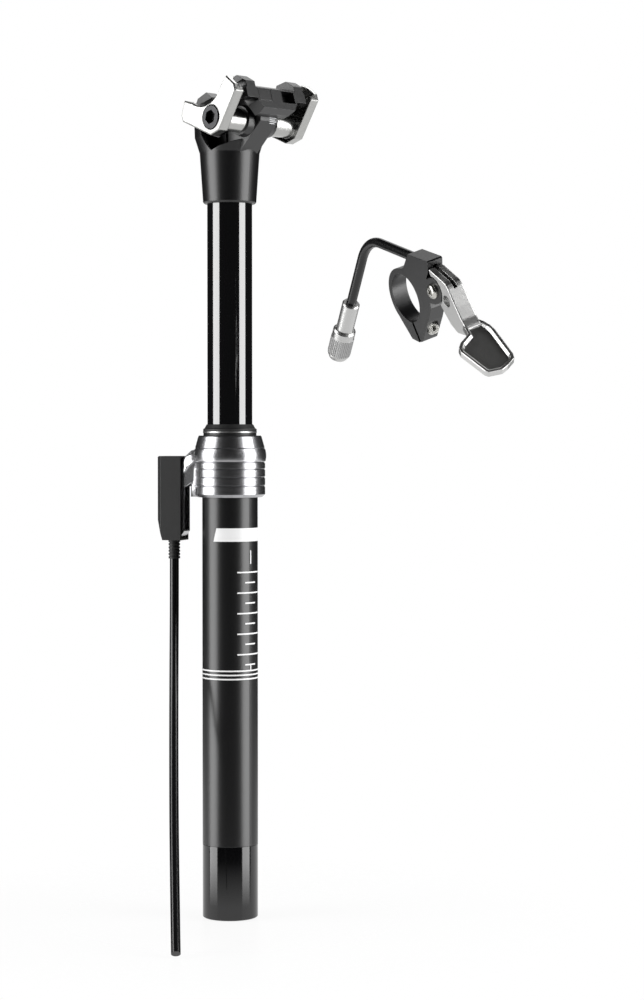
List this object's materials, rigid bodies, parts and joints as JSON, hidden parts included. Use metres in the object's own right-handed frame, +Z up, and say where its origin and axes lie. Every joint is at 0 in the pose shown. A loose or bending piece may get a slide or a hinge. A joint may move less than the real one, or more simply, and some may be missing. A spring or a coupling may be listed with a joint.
{
  "type": "dropper seatpost",
  "caption": "Telescoping seatpost with a two-plate saddle rail clamp, a collar actuator with cable and a separate thumb remote for the handlebar.",
  "frame": {"origin": "centre of the shank's bottom face, where the seat tube takes it", "axes": "+Z up along the post, +X along the saddle rails toward the clamp's setback, Y along the clamp bolt"},
  "size_m": [0.2573, 0.1136, 0.4078],
  "materials": {
    "black_anodised": "satin black anodised",
    "gloss_black": "gloss black",
    "polished_aluminium": "polished",
    "satin_aluminium": "satin",
    "black_plastic": "satin moulded",
    "rubber_seal": "matte",
    "bearing_plastic": "smooth",
    "brass_keys": "machined",
    "black_steel": "black oxide",
    "bright_steel": "zinc plated"
  },
  "bodies": {
    "base": {"lower_tube": "black_anodised", "base_cap": "gloss_black", "strut_bolt": "black_steel", "strut_rod": "bright_steel", "strut_piston": "bearing_plastic", "topout_bumper": "rubber_seal", "collar": "polished_aluminium", "upper_bushing": "bearing_plastic", "seal_carrier": "black_plastic", "seal_ring": "polished_aluminium", "wiper_seal": "rubber_seal", "lever_pivot_pin": "bright_steel", "actuator_cover": "black_plastic", "cover_screws": "black_steel", "housing_ferrule": "bright_steel", "strain_relief": "rubber_seal", "cable_housing": "black_plastic", "return_spring": "bright_steel", "bar_clamp": "black_anodised", "pinch_bolt": "bright_steel", "pinch_nut": "bright_steel", "lever_screw": "bright_steel", "noodle_pipe": "black_anodised", "adjuster_sleeve": "satin_aluminium"},
    "upper": {"stanchion_tube": "gloss_black", "lower_bushing": "bearing_plastic", "guide_keys": "brass_keys", "strut_gland": "satin_aluminium", "strut_cylinder": "satin_aluminium", "strut_plug": "satin_aluminium", "head": "black_anodised"},
    "bar": {"release_bar": "bright_steel"},
    "valve": {"valve_pin": "bright_steel"},
    "cradle": {"saddle_cradle": "black_anodised"},
    "near_jaw": {"near_clamp_plate": "polished_aluminium"},
    "far_jaw": {"far_clamp_plate": "polished_aluminium", "clamp_nut": "bright_steel"},
    "bolt": {"clamp_bolt": "black_steel"},
    "lever": {"actuator_lever": "satin_aluminium"},
    "pusher": {"push_pin": "bright_steel"},
    "wire": {"release_wire": "bright_steel"},
    "thumb": {"thumb_lever": "polished_aluminium"},
    "adjuster": {"adjuster_barrel": "satin_aluminium"}
  },
  "joints": [
    {"name": "post_drop", "type": "slide", "parent": "base", "child": "upper", "axis": [0, 0, 1], "range_m": [-0.1, 0]},
    {"name": "saddle_tilt", "type": "hinge", "parent": "upper", "child": "cradle", "pos_m": [0.017, 0, 0.388], "axis": [0, 1, 0], "range_deg": [-7.5, 42.5]},
    {"name": "clamp_bolt_turn", "type": "hinge", "parent": "near_jaw", "child": "bolt", "pos_m": [0.017, 0, 0.388], "axis": [0, -1, 0], "range_deg": [0, 1441]},
    {"name": "near_plate_slide", "type": "slide", "parent": "cradle", "child": "near_jaw", "axis": [0, -1, 0], "range_m": [0, 0.0025]},
    {"name": "far_plate_slide", "type": "slide", "parent": "cradle", "child": "far_jaw", "axis": [0, 1, 0], "range_m": [0, 0.00251]},
    {"name": "actuator_pull", "type": "hinge", "parent": "base", "child": "lever", "pos_m": [-0.01854, -0.00986, 0.2215], "axis": [0.4695, -0.8829, 0], "range_deg": [0, 15.1]},
    {"name": "push_pin_slide", "type": "slide", "parent": "base", "child": "pusher", "axis": [0.8829, 0.4695, 0], "range_m": [0, 0.0013]},
    {"name": "wire_pull", "type": "slide", "parent": "base", "child": "wire", "axis": [0, 0, -1], "range_m": [0, 0.00212], "stiffness_N_per_m": 900, "springref_m": -0.003, "deforming": ["return_spring"]},
    {"name": "release_bar_press", "type": "slide", "parent": "upper", "child": "bar", "axis": [0.8829, 0.4695, 0], "range_m": [0, 0.0013]},
    {"name": "valve_press", "type": "slide", "parent": "upper", "child": "valve", "axis": [0, 0, -1], "range_m": [0, 0.0013]},
    {"name": "thumb_lever_push", "type": "hinge", "parent": "base", "child": "thumb", "pos_m": [0.17823, -0.04255, 0.29969], "axis": [0.3182, 0.8838, 0.343], "range_deg": [0, 25], "stiffness_Nm_per_rad": 0.2, "springref_deg": -14.32},
    {"name": "adjuster_turn", "type": "hinge", "parent": "base", "child": "adjuster", "pos_m": [0.09594, -0.01736, 0.28553], "axis": [-0.5765, 0.3078, -0.7569], "continuous": true}
  ],
  "couplings": [
    {"joint": "clamp_bolt_turn", "follows": "near_plate_slide", "rad_per_m": 10053},
    {"joint": "far_plate_slide", "follows": "near_plate_slide", "ratio": 1},
    {"joint": "push_pin_slide", "follows": "wire_pull", "ratio": 0.58962},
    {"joint": "actuator_pull", "follows": "wire_pull", "rad_per_m": 123.49},
    {"joint": "release_bar_press", "follows": "wire_pull", "ratio": 0.58962},
    {"joint": "valve_press", "follows": "wire_pull", "ratio": 0.58962}
  ]
}
